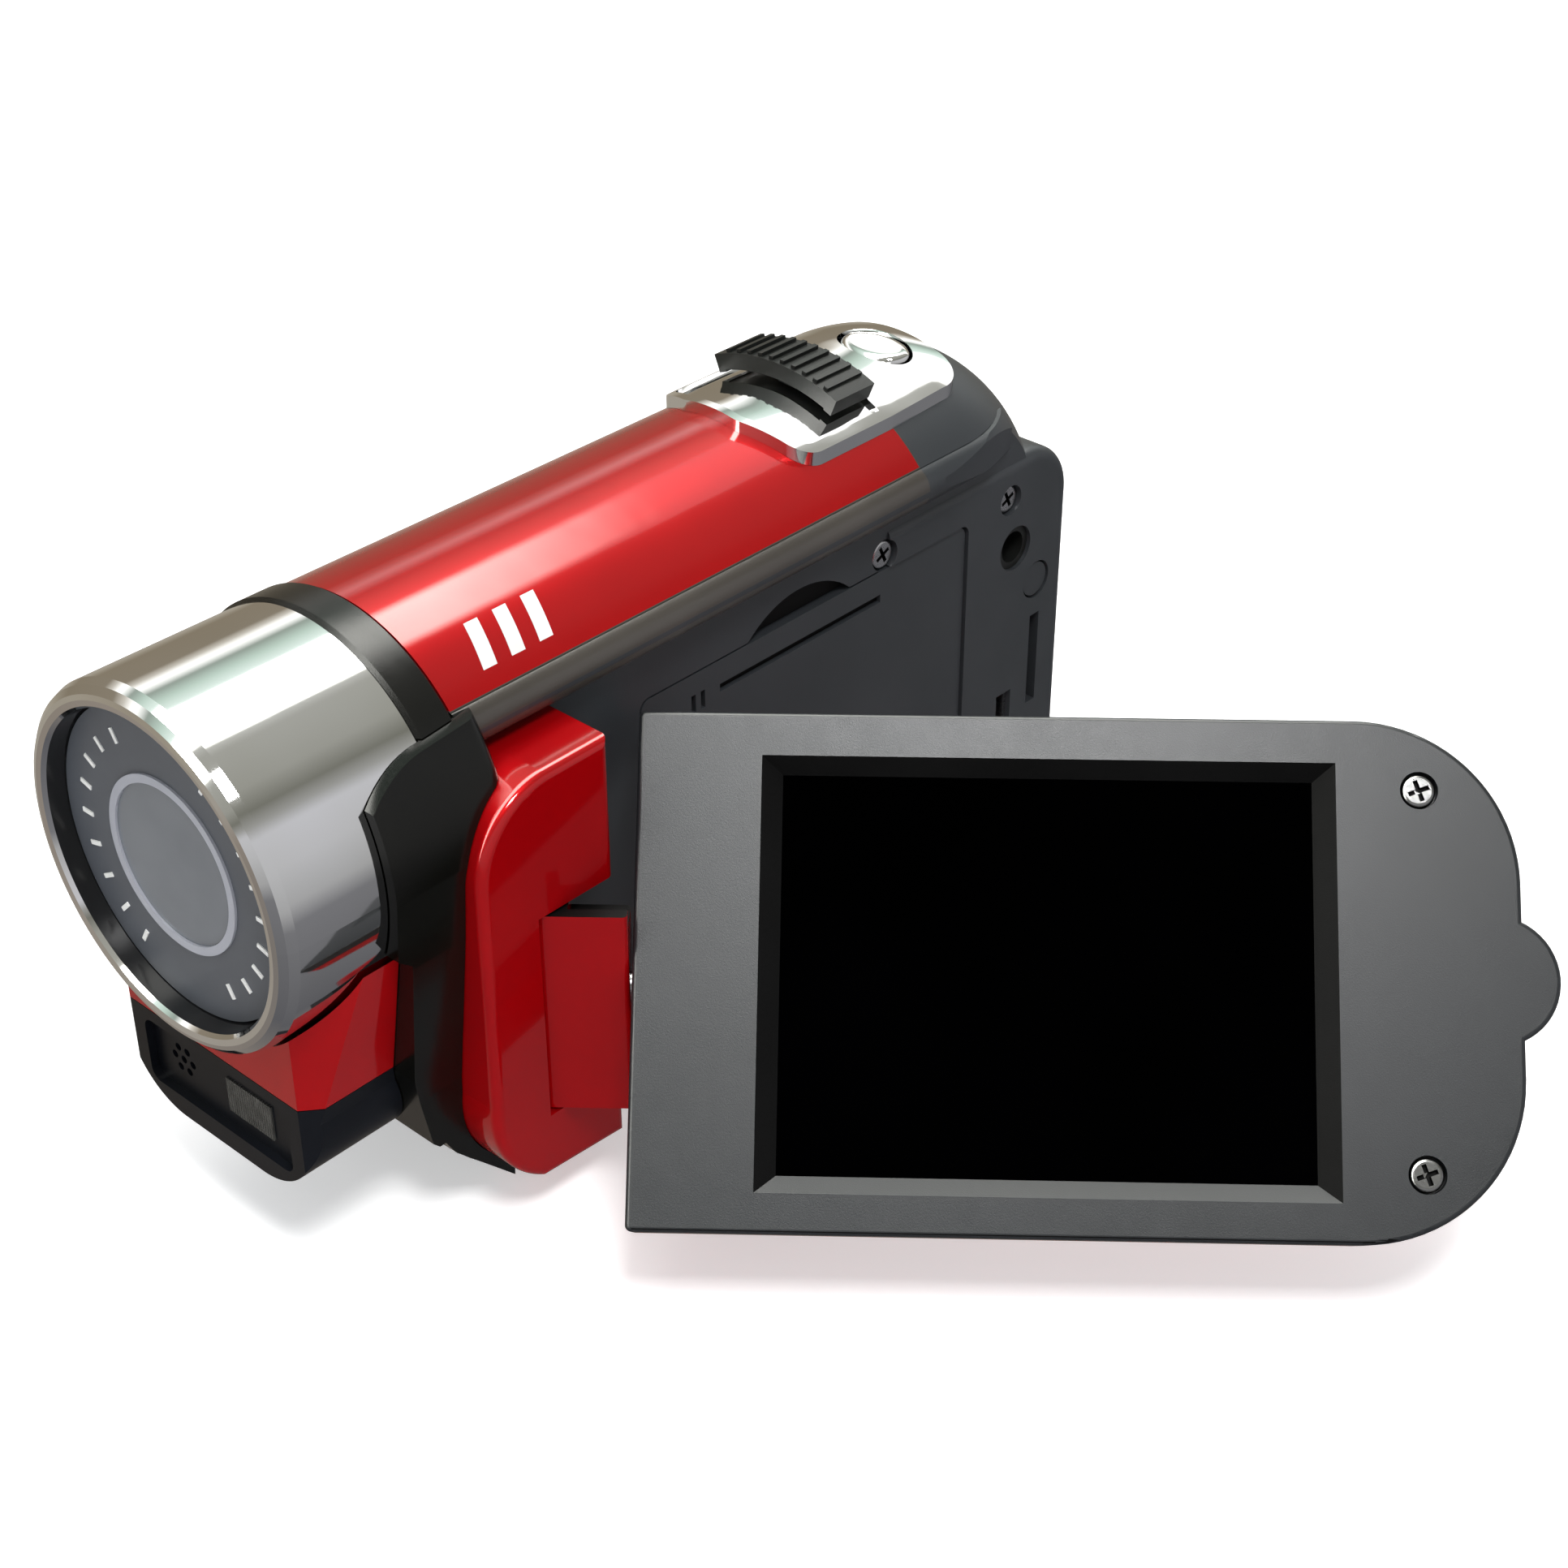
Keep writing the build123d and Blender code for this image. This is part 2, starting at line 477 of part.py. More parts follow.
def build_controls():
    low = crown_shell(PLATE_LOW_R, COVER_R + 0.02) & along_z(plate_outline_front(), LENS_Z, LENS_Z + 30)
    high = crown_shell(PLATE_HIGH_R, COVER_R + 0.02) & along_z(plate_outline_rear(), LENS_Z, LENS_Z + 30)
    plate = low + high
    rim = crown_shell(PLATE_HIGH_R, PLATE_LOW_R) & along_z(plate_outline_front() - offset(plate_outline_front(), -1.0),
                                                          LENS_Z, LENS_Z + 30)
    plate += rim
    y0, y1 = back(ROCKER_BACK - ROCKER_HALF), back(ROCKER_BACK + ROCKER_HALF)
    slot = arc_bar(COVER_R - 3, COVER_R + 3, 9.5, back(ROCKER_BACK - 1.3), back(ROCKER_BACK + 1.3))
    bx, by = BUTTON_XY
    button_hole = Pos(bx, by, up(20)) * extrude(Ellipse(4.5, 3.1), 10, both=True)
    plate = plate - slot - button_hole
    stem = arc_bar(COVER_R - 2.6, COVER_R + 1.6, 4.0, back(ROCKER_BACK - 0.9), back(ROCKER_BACK + 0.9))
    cap = arc_bar(COVER_R + 1.55, COVER_R + 3.3, ROCKER_ANGLE, y0, y1)
    ends = arc_bar(COVER_R + 1.35, COVER_R + 1.6, ROCKER_ANGLE, y0, y1) - arc_bar(
        COVER_R, COVER_R + 2, ROCKER_ANGLE - 3, y0 - 1, y1 + 1)
    ribs = [Pos(0, 0, LENS_Z) * Rot(0, a, 0) * Pos(0, back(ROCKER_BACK), COVER_R + 3.3)
            * Box(0.55, 2 * ROCKER_HALF - 0.6, 0.7) for a in range(-18, 19, 4)]
    rocker = cap + ends + stem
    for rib in ribs:
        rocker += rib
    carrier = arc_bar(COVER_R - 4.2, COVER_R - 2.62, 8.0, y0 + 0.5, y1 - 0.5)
    switch = block(-3, 3, back(ROCKER_BACK - 2.4), back(ROCKER_BACK + 2.4), up(COVER_R - 7.6), up(COVER_R - 4.6))
    top = up(sqrt(COVER_R ** 2 - bx ** 2)) + BUTTON_TOP - 2.0
    button = Pos(bx, by, top - 2.4) * extrude(Ellipse(4.2, 2.8), 2.4)
    button = fillet(button.edges().group_by(Axis.Z)[-1], 0.9)
    button += rod_z(1.2, up(12.6), top - 2.3, bx, by)
    spring = rod_z(2.1, up(13.2), up(15.4), bx, by) - rod_z(1.4, up(10), up(20), bx, by)
    tact = block(bx - 2.5, bx + 2.5, by - 2.5, by + 2.5, up(9.6), up(11.6))
    write("control_plate", plate)
    write("zoom_rocker", rocker)
    write("zoom_carrier", carrier)
    write("zoom_switch", switch)
    write("shutter_button", button)
    write("shutter_spring", spring)
    write("shutter_switch", tact)
    return slot, rod_z(2.3, up(12), up(20), bx, by) + button_hole


# ---------------------------------------------------------------- side: door, cells, sockets
def build_side():
    y0, y1, z0, z1 = DOOR
    door = along_x(door_outline(0.2), SIDE_X - 1.2, SIDE_X)
    slot_z = up(-2.0)
    door -= block(SIDE_X - 0.55, SIDE_X + 1, back(35.0), back(59.0), slot_z - 0.45, slot_z + 0.45)
    for d in (31.0, 32.3):
        door -= block(SIDE_X - 0.55, SIDE_X + 1, back(d), back(d + 0.6), up(-3.2), up(-1.2))
    write("battery_door", door)

    centre_z = [up(-6.5 - 10.75 * k) for k in range(3)]
    cell_y0 = back(26.2)
    bay_x = SIDE_X - WALL - 0.2 - CELL_R
    cells = [rod_y(CELL_R, cell_y0, cell_y0 + CELL_LENGTH, bay_x, z)
             + rod_y(1.9, cell_y0 + CELL_LENGTH, cell_y0 + CELL_LENGTH + 0.8, bay_x, z) for z in centre_z]
    tray = block(bay_x - 6.6, bay_x + 4.9, back(24.4), back(73.6), up(-34.6), up(-0.6))
    tray -= block(bay_x - 5.4, bay_x + 9, cell_y0 - 0.8, back(72.4), up(-33.6), up(-1.1))
    contacts = [block(bay_x - 4, bay_x + 4, cell_y0 + CELL_LENGTH + 0.85, cell_y0 + CELL_LENGTH + 1.25, z - 4, z + 4)
                for z in centre_z]
    springs = [rod_y(3.2, cell_y0 - 0.75, cell_y0 - 0.05, bay_x, z) for z in centre_z]
    write("battery_tray", tray)
    write("battery_cells", group(cells))
    write("battery_contacts", group(contacts))
    write("battery_springs", group(springs))

    jy, jz = JACK
    jack = rod_x(2.55, SIDE_X - 13, SIDE_X - 0.1, jy, jz) - rod_x(JACK_R, SIDE_X - 12, SIDE_X + 1, jy, jz)
    write("av_jack", jack)
    power = rod_x(2.0, SIDE_X - 1.6, SIDE_X + 0.15, *POWER) + rod_x(2.6, SIDE_X - 2.7, SIDE_X - 2.2, *POWER)
    power += rod_x(1.0, SIDE_X - 2.3, SIDE_X - 1.5, *POWER)
    write("power_button", power)
    write("power_switch", block(SIDE_X - 5.4, SIDE_X - 3.4, POWER[0] - 2.2, POWER[0] + 2.2, POWER[1] - 2.2, POWER[1] + 2.2))
    y, z, width, height = CARD_SLOT
    socket = block(2.6, SIDE_X - WALL - 0.1, y - 1.6, y + 1.6, z - 6.8, z + 6.8)
    socket -= block(3.4, SIDE_X + 1, y - 0.6, y + 0.6, z - 5.6, z + 5.6)
    write("card_socket", socket)
    y, z, width, height = USB_SLOT
    socket = block(SIDE_X - 7.5, SIDE_X - 0.3, y - 1.25, y + 1.25, z - 3.9, z + 3.9)
    socket -= block(SIDE_X - 6.5, SIDE_X + 1, y - 0.9, y + 0.9, z - 3.5, z + 3.5)
    socket += block(SIDE_X - 6.6, SIDE_X - 0.8, y - 0.3, y + 0.3, z - 2.6, z + 2.6)
    write("usb_socket", socket)
    write("side_screws", group([screw_x(y, z) for y, z in SIDE_SCREWS]))


def cross_cut(size, depth):
    """Phillips recess, cut downwards from z = 0."""
    arm = Pos(0, 0, -depth / 2) * Box(size, size * 0.22, depth)
    return arm + Rot(0, 0, 90) * arm


def pan_screw(head_r, head_h, shank_r, length):
    """Screw along -Z with its head's top at z = 0."""
    head = Pos(0, 0, -head_h / 2) * Cylinder(head_r, head_h)
    head = fillet(head.edges().group_by(Axis.Z)[-1], head_h * 0.45)
    shank = Pos(0, 0, -head_h - length / 2) * Cylinder(shank_r, length)
    return head + shank - cross_cut(head_r * 1.25, head_h * 0.75)


def screw_x(y, z):
    """Side screw, seated in its counterbore."""
    return Pos(SIDE_X - 0.12, y, z) * Rot(0, 90, 0) * Rot(0, 0, 25) * pan_screw(1.6, 0.78, 0.55, 0.7)


# ---------------------------------------------------------------- rear controls and inside
def build_rear():
    x, z = RECORD
    face_y = back(BODY_REAR)
    record = rod_y(4.0, face_y - 2.2, face_y + 1.0, x, z) + rod_y(5.2, face_y - 2.9, face_y - 2.2, x, z)
    write("record_button", record)
    for k, (x, z) in enumerate(MENU_XZ):
        key = block(x - 2.4, x + 2.4, face_y - 2.2, face_y + 0.7, z - 1.6, z + 1.6)
        key = fillet(key.edges().filter_by(Axis.Y), 0.8)
        key += block(x - 3.2, x + 3.2, face_y - 2.9, face_y - 2.2, z - 2.4, z + 2.4)
        write(f"menu_button_{k + 1}", key)
    write("status_light", rod_y(0.85, back(BODY_REAR - 3.0), back(BODY_REAR + 0.1), *LIGHT))
    write("rear_board", block(-11.2, 2.2, back(85.4), back(86.4), up(-34), up(2)))
    write("main_board", block(-6.5, -5.3, back(14), back(76), up(-34), up(6)))
    write("speaker", rod_x(6.5, -15.6, -12.6, *SPEAKER))
    insert = rod_z(4.2, 0, 7.2, 0, 0) - rod_z(TRIPOD_R, -1, TRIPOD_DEPTH, 0, 0)
    write("tripod_insert", insert)
    screws = [Pos(x, y, 0.55) * Rot(180, 0, 0) * pan_screw(1.6, 0.78, 0.55, 0.36) for x, y in BASE_SCREWS]
    write("base_screws", group(screws))


BASE_SCREWS = [(-8.0, back(8.0)), (-8.0, back(70.0)), (8.0, back(8.0)), (8.0, back(70.0))]


def base_cuts():
    """Tripod socket and screw wells in the base."""
    cut = rod_z(4.22, -1, 3, 0, 0)
    for x, y in BASE_SCREWS:
        cut += rod_z(1.75, -1, 1.35, x, y) + rod_z(0.6, 0, 3, x, y)
    return cut


# ---------------------------------------------------------------- hinge
def hinge_place():
    """Frame on the hinge axis with +X along the open panel, upright."""
    return Pos(HINGE_X, back(HINGE_BACK), 0) * Rot(0, 0, 90 - OPEN_ANGLE)


def panel_place():
    """Frame on the hinge axis: +X along the panel, +Z out of the screen."""
    a, t = radians(OPEN_ANGLE), radians(TILT_ANGLE)
    along = Vector(sin(a), cos(a), 0)
    outward = Vector(cos(t) * cos(a), -cos(t) * sin(a), sin(t))
    return Location(Plane(origin=(HINGE_X, back(HINGE_BACK), up(SWIVEL_UP)), x_dir=along, z_dir=outward))


def build_hinge():
    body = along_x(block_outline(), SIDE_X + 0.02, BLOCK_X)
    rim = [e for e in body.edges() if e.center().X > BLOCK_X - 0.01]
    body = fillet(rim, 1.0)
    body -= rod_y(HOOD_R + 0.1, back(HOOD_FRONT), back(HOOD_BACK))
    x, y = HINGE_X, back(HINGE_BACK)
    body -= block(0, 60, back(SLOT_FRONT), back(60), up(SLOT_BOTTOM), up(SLOT_TOP))
    body -= rod_z(KNUCKLE_R + CLEAR, up(SLOT_BOTTOM), up(SLOT_TOP), x, y)
    body -= rod_z(PIN_R, up(SLOT_BOTTOM - 4), up(SLOT_TOP + 4), x, y)
    pins = [rod_z(PIN_R, up(SLOT_TOP - 3), up(SLOT_TOP + 4), x, y),
            rod_z(PIN_R, up(SLOT_BOTTOM - 4), up(SLOT_BOTTOM + 3), x, y)]
    write("hinge_block", body)
    write("hinge_pins", group(pins))

    low, high = up(SLOT_BOTTOM) + CLEAR, up(SLOT_TOP) - CLEAR
    knuckle = Pos(0, 0, (low + high) / 2) * Cylinder(KNUCKLE_R, high - low)
    end = PANEL_NEAR - CLEAR
    arm = Pos(end / 2, 0, (low + high) / 2) * Box(end, 2 * KNUCKLE_R, high - low)
    arm = fillet([e for e in arm.edges().filter_by(Axis.Z) if e.center().X > end - 1], 0.5)
    knuckle += arm
    knuckle -= Pos(end, 0.9, high) * Box(2 * (end - PIN_R - 1.2), 3.6, 2 * POCKET_DEPTH)
    knuckle -= Pos(0, 0, high - 1.5) * Cylinder(PIN_R + RUN, 3.2)
    knuckle -= Pos(0, 0, low + 1.5) * Cylinder(PIN_R + RUN, 3.2)
    knuckle -= Pos(end / 2 + 1, 0, up(SWIVEL_UP)) * Rot(0, 90, 0) * Cylinder(SHAFT_R + RUN, end)
    write("hinge_knuckle", hinge_place() * knuckle)

    place = panel_place()
    shaft_end = PANEL_NEAR + 9.0
    shaft = Pos((1.4 + shaft_end) / 2, 0, 0) * Rot(0, 90, 0) * Cylinder(SHAFT_R, shaft_end - 1.4)
    shaft += Pos(PANEL_NEAR + 3.6, 0, 0) * Rot(0, 90, 0) * Cylinder(2.6, 0.8)
    write("swivel_shaft", place * shaft)


# ---------------------------------------------------------------- screen panel
def panel_outline(shrink=0.0):
    """Panel seen from its front: square near end, round far corners."""
    x0, x1 = PANEL_NEAR + shrink, PANEL_NEAR + PANEL_LENGTH - shrink
    y0, y1 = PANEL_OFFSET - PANEL_WIDTH / 2 + shrink, PANEL_OFFSET + PANEL_WIDTH / 2 - shrink
    face = outline((x0, y0), (x1, y0), (x1, y1), (x0, y1))
    face = rounded(face, PANEL_CORNER - shrink, lambda v: v.X > x1 - 1)
    return rounded(face, 0.6, lambda v: v.X < x0 + 1)


def finger_tab():
    tab = Pos(PANEL_NEAR + PANEL_LENGTH - 2.6, PANEL_OFFSET) * Circle(6.0)
    return tab - Pos(PANEL_NEAR + PANEL_LENGTH - 12, PANEL_OFFSET) * Rectangle(20, 20)


PANEL_SCREWS = [(PANEL_NEAR + PANEL_LENGTH - 9.1, PANEL_OFFSET + dy) for dy in (-17.6, 17.4)]


def corner_relief(inset=0.0):
    """Plane that takes off the shell's near upper corner, so that it clears the body as the panel shuts."""
    along, across, deep = 6.2, 7.6, 4.4
    normal = Vector(1 / along, -1 / across, 1 / deep).normalized()
    corner = Vector(PANEL_NEAR + along, PANEL_OFFSET + PANEL_WIDTH / 2, -PANEL_HALF)
    return Plane(origin=corner + normal * inset, z_dir=normal)


def build_panel():
    place = panel_place()
    frame = extrude(Plane(origin=(0, 0, FRAME_BACK)) * (panel_outline() + finger_tab()), PANEL_HALF - FRAME_BACK)
    top_edges = [e for e in frame.edges() if e.center().Z > PANEL_HALF - 0.01]
    frame = fillet(top_edges, 0.45)
    window = Plane(origin=(WINDOW_X, WINDOW_Y, PANEL_HALF)) * Rectangle(*WINDOW)
    inner = Plane(origin=(WINDOW_X, WINDOW_Y, GLASS_FACE)) * Rectangle(*SCREEN)
    frame -= loft([inner, window])
    frame -= Pos(WINDOW_X, WINDOW_Y, (FRAME_BACK + GLASS_FACE) / 2) * Box(SCREEN[0] + 2.4, SCREEN[1] + 2.4,
                                                                         GLASS_FACE - FRAME_BACK + 0.001)
    frame -= Pos(WINDOW_X, WINDOW_Y, GLASS_FACE) * Box(SCREEN[0], SCREEN[1], 0.1)
    for x, y in PANEL_SCREWS:
        frame -= Pos(x, y, PANEL_HALF) * Cylinder(1.75, 2.4)
    frame -= Pos(PANEL_NEAR + 4, 0, 0) * Rot(0, 90, 0) * Cylinder(2.9, 12)

    shell = extrude(Plane(origin=(0, 0, -PANEL_HALF)) * panel_outline(), PANEL_HALF + FRAME_BACK - 0.06)
    back_edges = [e for e in shell.edges() if e.center().Z < -PANEL_HALF + 0.01]
    shell = fillet(back_edges, 2.6)
    shell = split(shell, bisect_by=corner_relief(), keep=Keep.TOP)
    hollow = extrude(Plane(origin=(0, 0, -PANEL_HALF + 1.4)) * panel_outline(1.5), 20)
    hollow = split(hollow, bisect_by=corner_relief(1.3), keep=Keep.TOP)
    shell -= hollow
    shell -= Pos(PANEL_NEAR, 0, 0) * Rot(0, 90, 0) * Cylinder(SHAFT_R + 0.3, 8)
    frame -= Pos(PANEL_NEAR, 0, 0) * Rot(0, 90, 0) * Cylinder(SHAFT_R + 0.3, 8)

    glass = Pos(WINDOW_X, WINDOW_Y, GLASS_FACE - 0.4) * Box(SCREEN[0] + 2.2, SCREEN[1] + 2.2, 0.7)
    module = Pos(WINDOW_X, WINDOW_Y, GLASS_FACE - 2.2) * Box(SCREEN[0] + 2.0, SCREEN[1] + 2.0, 2.7)
    board = Pos(WINDOW_X, WINDOW_Y, -1.5) * Box(40, 30, 1.0)
    bracket = Pos(PANEL_NEAR + 6.6, 0, -1.1) * Box(3.6, 9, 3.5)
    bracket += Pos(PANEL_NEAR + 6.6, 0, 0) * Rot(0, 90, 0) * Cylinder(2.6, 3.6)
    bracket -= Pos(PANEL_NEAR + 6, 0, 0) * Rot(0, 90, 0) * Cylinder(SHAFT_R + RUN, 20)
    screws = [Pos(x, y, PANEL_HALF - 0.15) * Rot(0, 0, 20) * pan_screw(1.6, 0.9, 0.6, 0.1) for x, y in PANEL_SCREWS]
    for name, shape in (("panel_frame", frame), ("panel_shell", shell), ("screen_glass", glass),
                        ("lcd_module", module), ("lcd_board", board), ("swivel_bracket", bracket),
                        ("panel_screws", group(screws))):
        write(name, place * shape)


# ---------------------------------------------------------------- build
def main():
    os.makedirs("parts", exist_ok=True)
    build_lens()
    build_chin()
    rocker_slot, shutter_hole = build_controls()
    cover, left, right, rear = part_shells()
    write("top_cover", cover - rocker_slot - shutter_hole)
    write("left_housing", left - side_cuts() - base_cuts())
    write("right_housing", right - base_cuts())
    write("rear_housing", rear - rear_cuts() - shutter_hole - base_cuts())
    build_side()
    build_rear()
    build_hinge()
    build_panel()


main()
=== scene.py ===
import json
import math

import bpy
from mathutils import Matrix, Vector


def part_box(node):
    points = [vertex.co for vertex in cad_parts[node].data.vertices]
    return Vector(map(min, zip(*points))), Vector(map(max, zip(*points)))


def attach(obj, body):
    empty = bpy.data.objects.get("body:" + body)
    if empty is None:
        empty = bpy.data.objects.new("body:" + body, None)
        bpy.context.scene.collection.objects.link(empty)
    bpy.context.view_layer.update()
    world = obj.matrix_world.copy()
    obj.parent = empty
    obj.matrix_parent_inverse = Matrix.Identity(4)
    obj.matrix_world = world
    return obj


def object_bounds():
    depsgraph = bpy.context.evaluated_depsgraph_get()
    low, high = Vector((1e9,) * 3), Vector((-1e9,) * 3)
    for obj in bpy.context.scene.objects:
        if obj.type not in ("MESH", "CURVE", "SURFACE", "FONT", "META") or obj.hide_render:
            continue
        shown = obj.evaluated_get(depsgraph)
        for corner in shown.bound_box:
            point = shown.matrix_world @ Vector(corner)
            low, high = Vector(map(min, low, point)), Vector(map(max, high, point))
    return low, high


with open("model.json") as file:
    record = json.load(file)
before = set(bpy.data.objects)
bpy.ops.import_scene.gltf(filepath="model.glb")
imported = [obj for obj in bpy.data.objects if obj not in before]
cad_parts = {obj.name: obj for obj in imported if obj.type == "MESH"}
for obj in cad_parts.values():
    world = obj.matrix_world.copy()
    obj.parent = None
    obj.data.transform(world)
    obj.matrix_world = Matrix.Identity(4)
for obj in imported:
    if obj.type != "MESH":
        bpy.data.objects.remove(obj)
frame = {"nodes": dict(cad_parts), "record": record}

cad_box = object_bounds()
nodes = frame["nodes"]
scene = bpy.context.scene
MM = 0.001

# ---------------------------------------------------------------- places taken from the frame
hood_low, hood_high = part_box("lens_hood")
LENS_Z = (hood_low.z + hood_high.z) / 2
COVER_GAP = 0.1 * MM                    # between the hood band and the cover
COVER_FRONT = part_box("hood_band")[1].y + COVER_GAP
COVER_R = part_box("top_cover")[1].z - LENS_Z
FLOOR_Z = cad_box[0].z - 0.2 * MM       # just clear of the part


def back(distance):
    """Y of a place measured back from the cover's front edge, in mm."""
    return COVER_FRONT + distance * MM


def up(height):
    """Z of a place measured up from the lens axis, in mm."""
    return LENS_Z + height * MM


def frame_joint_axis(name):
    """Axis of a joint, as the record gives it."""
    joints = frame["record"]["behaviour"]["joints"]
    return next(joint["axis"] for joint in joints if joint["name"] == name)


# ---------------------------------------------------------------- camera
CAMERA_AZIMUTH = 42.48          # degrees from the front (-Y) towards the screen's side (+X)
CAMERA_ELEVATION = 33.41        # degrees above level
CAMERA_ROLL = 0.09              # degrees
CAMERA_LENS = 62.63             # mm, on a sensor CAMERA_SENSOR wide
CAMERA_SENSOR = 36.0
CAMERA_PLACE = (0.1712, -0.1669, 0.1801)        # metres


def add_camera():
    """The photo's viewpoint."""
    a, e = math.radians(CAMERA_AZIMUTH), math.radians(CAMERA_ELEVATION)
    backward = Vector((math.sin(a) * math.cos(e), -math.cos(a) * math.cos(e), math.sin(e)))
    data = bpy.data.cameras.new("camera")
    data.lens = CAMERA_LENS
    data.sensor_width = CAMERA_SENSOR
    data.clip_start = 0.01
    data.clip_end = 20.0
    camera = bpy.data.objects.new("camera", data)
    scene.collection.objects.link(camera)
    turn = (-backward).to_track_quat("-Z", "Y").to_matrix().to_4x4()
    roll = Matrix.Rotation(math.radians(-CAMERA_ROLL), 4, "Z")
    camera.matrix_world = Matrix.Translation(CAMERA_PLACE) @ turn @ roll
    scene.camera = camera


# ---------------------------------------------------------------- node helpers
def new_material(name):
    """A new material with its node tree and its shader."""
    material = bpy.data.materials.new(name)
    material.use_nodes = True
    tree = material.node_tree
    shader = tree.nodes["Principled BSDF"]
    return material, tree, shader


def coordinates(tree, stretch=(1.0, 1.0, 1.0)):
    """Object coordinates in millimetres, stretched along the axes."""
    source = tree.nodes.new("ShaderNodeTexCoord")
    mapping = tree.nodes.new("ShaderNodeMapping")
    mapping.inputs["Scale"].default_value = [1000.0 * s for s in stretch]
    tree.links.new(source.outputs["Object"], mapping.inputs["Vector"])
    return mapping.outputs["Vector"]


def noise(tree, vector, scale, detail=3.0, roughness=0.5):
    """Noise value from 0 to 1; on a vector in mm, scale is in blotches per mm."""
    made = tree.nodes.new("ShaderNodeTexNoise")
    made.inputs["Scale"].default_value = scale
    made.inputs["Detail"].default_value = detail
    made.inputs["Roughness"].default_value = roughness
    tree.links.new(vector, made.inputs["Vector"])
    return made.outputs["Fac"]


def ramp(tree, value, stops):
    """Colour ramp; each stop is a position and a colour or a grey."""
    made = tree.nodes.new("ShaderNodeValToRGB")
    elements = made.color_ramp.elements
    while len(elements) < len(stops):
        elements.new(0.5)
    for element, (position, colour) in zip(elements, stops):
        element.position = position
        if not hasattr(colour, "__len__"):
            colour = (colour, colour, colour)
        element.color = (*colour, 1.0)
    tree.links.new(value, made.inputs["Fac"])
    return made.outputs["Color"]


def spread(tree, value, low, high):
    """Maps 0..1 to low..high."""
    made = tree.nodes.new("ShaderNodeMapRange")
    made.inputs["To Min"].default_value = low
    made.inputs["To Max"].default_value = high
    tree.links.new(value, made.inputs["Value"])
    return made.outputs["Result"]


def tint(tree, shader, cloud, dark, light):
    """Base colour that drifts between two shades with the cloud."""
    colour = ramp(tree, cloud, [(0.3, dark), (0.7, light)])
    tree.links.new(colour, shader.inputs["Base Color"])


def bump(tree, shader, height, distance, strength=1.0, coat=False):
    """Surface relief; distance is in metres."""
    made = tree.nodes.new("ShaderNodeBump")
    made.inputs["Distance"].default_value = distance
    made.inputs["Strength"].default_value = strength
    tree.links.new(height, made.inputs["Height"])
    tree.links.new(made.outputs["Normal"], shader.inputs["Normal"])
    if coat:
        tree.links.new(made.outputs["Normal"], shader.inputs["Coat Normal"])


# ---------------------------------------------------------------- materials
def gloss_red():
    """Candy red: metallic flake under clear lacquer, with faint orange peel."""
    material, tree, shader = new_material("candy_red")
    mm = coordinates(tree)
    cloud = noise(tree, mm, 0.05, 2.0)
    tint(tree, shader, cloud, (0.33, 0.0010, 0.0030), (0.38, 0.0013, 0.0030))
    flake = noise(tree, mm, 6.0, 2.0, 0.7)
    tree.links.new(spread(tree, flake, 0.30, 0.42), shader.inputs["Roughness"])
    shader.inputs["Metallic"].default_value = 0.4
    shader.inputs["Specular IOR Level"].default_value = 0.0
    shader.inputs["Coat Weight"].default_value = 1.0
    shader.inputs["Coat Roughness"].default_value = 0.07
    shader.inputs["Coat IOR"].default_value = 1.5
    peel = noise(tree, mm, 0.22, 1.0)
    bump(tree, shader, peel, 0.00002, 0.5, coat=True)
    return material


def mirror_chrome(name="mirror_chrome", waviness=0.00003):
    """Plated plastic: mirror, with the waviness of a moulding and fine hairlines."""
    material, tree, shader = new_material(name)
    mm = coordinates(tree)
    shader.inputs["Metallic"].default_value = 1.0
    cloud = noise(tree, mm, 0.08, 2.0)
    tint(tree, shader, cloud, (0.80, 0.80, 0.79), (0.86, 0.86, 0.87))
    smear = noise(tree, mm, 0.5, 3.0, 0.6)
    tree.links.new(spread(tree, smear, 0.03, 0.07), shader.inputs["Roughness"])
    wave = noise(tree, mm, 0.11, 1.0)
    bump(tree, shader, wave, waviness, 0.4)
    return material


def satin_plastic(name, dark, light, rough, grain=9.0, depth=0.00002, coat=0.0, specular=0.5):
    """Moulded plastic with a fine spark-eroded grain."""
    material, tree, shader = new_material(name)
    mm = coordinates(tree)
    cloud = noise(tree, mm, 0.06, 3.0)
    tint(tree, shader, cloud, dark, light)
    wear = noise(tree, mm, 0.4, 4.0, 0.6)
    tree.links.new(spread(tree, wear, rough - 0.05, rough + 0.05), shader.inputs["Roughness"])
    shader.inputs["Specular IOR Level"].default_value = specular
    if coat:
        shader.inputs["Coat Weight"].default_value = coat
        shader.inputs["Coat Roughness"].default_value = 0.25
    fine = noise(tree, mm, grain, 2.0, 0.6)
    bump(tree, shader, fine, depth, 0.6)
    return material


def bright_metal(name, colour, rough=0.25):
    """Turned or stamped metal with fine scratches."""
    material, tree, shader = new_material(name)
    mm = coordinates(tree, stretch=(1.0, 1.0, 6.0))
    shader.inputs["Metallic"].default_value = 1.0
    cloud = noise(tree, mm, 0.8, 3.0)
    dull = tuple(c * 0.8 for c in colour)
    tint(tree, shader, cloud, dull, colour)
    scratch = noise(tree, mm, 5.0, 3.0, 0.7)
    tree.links.new(spread(tree, scratch, rough - 0.08, rough + 0.12), shader.inputs["Roughness"])
    bump(tree, shader, scratch, 0.00001, 0.4)
    return material


